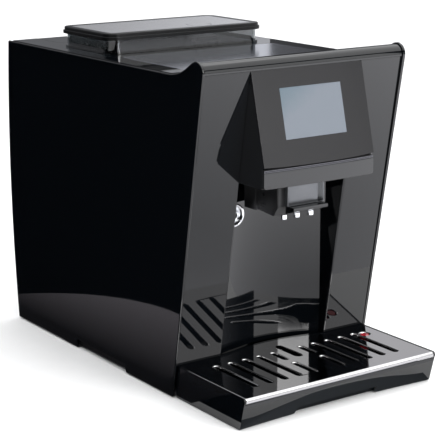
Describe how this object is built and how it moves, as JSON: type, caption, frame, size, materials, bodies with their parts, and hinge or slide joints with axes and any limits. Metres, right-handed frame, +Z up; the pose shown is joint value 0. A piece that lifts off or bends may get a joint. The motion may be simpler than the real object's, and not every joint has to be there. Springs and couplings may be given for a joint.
{
  "type": "hot coffee machine",
  "caption": "Gloss black table-top bean-to-cup coffee machine with touch display, sliding spout, bean hopper, lift-out water tank and pull-out slotted drip tray.",
  "frame": {"origin": "middle of the footprint, drip tray included, on the surface the machine stands on", "axes": "+Z up, -Y towards the user, +X to the right as the user faces the machine"},
  "size_m": [0.244, 0.4531, 0.344],
  "materials": {
    "gloss_black": "high gloss piano black",
    "satin_black": "fine moulded grain",
    "display_glass": "smoked satin screen front",
    "lcd": "unlit screen",
    "chrome": "bright plated",
    "silver_paint": "satin metallic paint",
    "polished_steel": "mirror polished",
    "steel": "machined",
    "clear_plastic": "clear moulded",
    "grey_plastic": "moulded",
    "satin_grey": "satin lid panel",
    "rubber": "matt",
    "red_plastic": "translucent red",
    "circuit_board": "solder mask",
    "aluminium": "cast",
    "brass": "machined"
  },
  "bodies": {
    "machine": {"base_pan": "satin_black", "feet": "rubber", "left_side_panel": "gloss_black", "right_side_panel": "gloss_black", "rear_panel": "satin_black", "panel_screws": "steel", "top_cover": "gloss_black", "inset_plate": "gloss_black", "front_fascia": "gloss_black", "niche_wall": "gloss_black", "chrome_port": "chrome", "nose_housing": "gloss_black", "display_panel": "display_glass", "lcd_module": "lcd", "display_board": "circuit_board", "trim_bead": "chrome", "nose_bar": "gloss_black", "spout_guide": "satin_black", "feed_tube": "rubber", "bean_hopper": "clear_plastic", "grinder_housing": "grey_plastic", "upper_burr": "steel", "grinder_motor": "steel", "brew_frame": "grey_plastic", "brew_chamber": "grey_plastic", "upper_piston": "grey_plastic", "brew_gearmotor": "steel", "thermoblock": "aluminium", "pump_body": "grey_plastic", "flow_meter": "grey_plastic", "solenoid_valve": "brass", "water_hoses": "rubber", "power_board": "circuit_board", "control_board": "circuit_board", "power_inlet": "satin_black", "switch_body": "satin_black", "tank_socket": "satin_black", "grounds_container": "satin_black"},
    "door": {"service_door": "gloss_black"},
    "spout": {"spout_body": "satin_black", "spout_plate": "silver_paint", "spout_grip": "gloss_black", "nozzles": "chrome"},
    "tray": {"drip_tray": "gloss_black"},
    "plate": {"drip_plate": "polished_steel"},
    "float": {"tray_float": "red_plastic"},
    "hopper_lid": {"hopper_lid": "gloss_black", "lid_inset": "satin_grey", "lid_seal": "rubber"},
    "knob": {"grind_knob": "satin_black"},
    "tank": {"water_tank": "clear_plastic"},
    "tank_lid": {"tank_lid": "gloss_black"},
    "tank_valve": {"tank_valve": "grey_plastic"},
    "burr": {"lower_burr": "steel"},
    "spindle": {"brew_spindle": "steel"},
    "piston": {"lower_piston": "grey_plastic"},
    "pump_plunger": {"pump_plunger": "steel"},
    "turbine": {"flow_turbine": "grey_plastic"},
    "solenoid_plunger": {"solenoid_plunger": "steel"},
    "rocker": {"power_rocker": "satin_black"}
  },
  "joints": [
    {"name": "service_door_swing", "type": "hinge", "parent": "machine", "child": "door", "pos_m": [0.1206, 0.132, 0.161], "axis": [0, 0, 1], "range_deg": [0, 100]},
    {"name": "spout_slide", "type": "slide", "parent": "machine", "child": "spout", "axis": [0, 0, 1], "range_m": [-0.06, 0]},
    {"name": "drip_tray_pull", "type": "slide", "parent": "machine", "child": "tray", "axis": [0, -1, 0], "range_m": [0, 0.2]},
    {"name": "drip_plate_lift", "type": "slide", "parent": "tray", "child": "plate", "axis": [0, -0.1961, 0.9806], "range_m": [0, 0.05]},
    {"name": "float_rise", "type": "slide", "parent": "tray", "child": "float", "axis": [0, 0, 1], "range_m": [0, 0.006]},
    {"name": "hopper_lid_lift", "type": "slide", "parent": "machine", "child": "hopper_lid", "axis": [0, 0, 1], "range_m": [0, 0.08]},
    {"name": "grind_knob_turn", "type": "hinge", "parent": "machine", "child": "knob", "pos_m": [0.036, 0.061, 0.32], "axis": [0, 0, 1], "range_deg": [-120, 120]},
    {"name": "water_tank_lift", "type": "slide", "parent": "machine", "child": "tank", "axis": [0, 0, 1], "range_m": [0, 0.28]},
    {"name": "tank_lid_swing", "type": "hinge", "parent": "tank", "child": "tank_lid", "pos_m": [0, 0.2071, 0.3182], "axis": [-1, 0, 0], "range_deg": [0, 85]},
    {"name": "tank_valve_lift", "type": "slide", "parent": "tank", "child": "tank_valve", "axis": [0, 0, 1], "range_m": [0, 0.004], "stiffness_N_per_m": 200, "springref_m": -0.003},
    {"name": "burr_spin", "type": "hinge", "parent": "machine", "child": "burr", "pos_m": [-0.035, 0.085, 0.2], "axis": [0, 0, 1], "continuous": true},
    {"name": "spindle_turn", "type": "hinge", "parent": "machine", "child": "spindle", "pos_m": [0.052, 0.058, 0.12], "axis": [0, 0, 1], "range_deg": [0, 1440]},
    {"name": "piston_slide", "type": "slide", "parent": "machine", "child": "piston", "axis": [0, 0, 1], "range_m": [0, 0.0341]},
    {"name": "pump_stroke", "type": "slide", "parent": "machine", "child": "pump_plunger", "axis": [0, 1, 0], "range_m": [-0.004, 0.004], "stiffness_N_per_m": 1000},
    {"name": "turbine_spin", "type": "hinge", "parent": "machine", "child": "turbine", "pos_m": [-0.03, 0.13, 0.06], "axis": [0, 0, 1], "continuous": true},
    {"name": "solenoid_stroke", "type": "slide", "parent": "machine", "child": "solenoid_plunger", "axis": [0, 0, 1], "range_m": [0, 0.004], "stiffness_N_per_m": 200, "springref_m": -0.003},
    {"name": "rocker_tip", "type": "hinge", "parent": "machine", "child": "rocker", "pos_m": [-0.1, 0.2126, 0.038], "axis": [0, 0, 1], "range_deg": [0, 12]}
  ],
  "couplings": [
    {"joint": "piston_slide", "follows": "spindle_turn", "m_per_rad": 0.0013528}
  ]
}
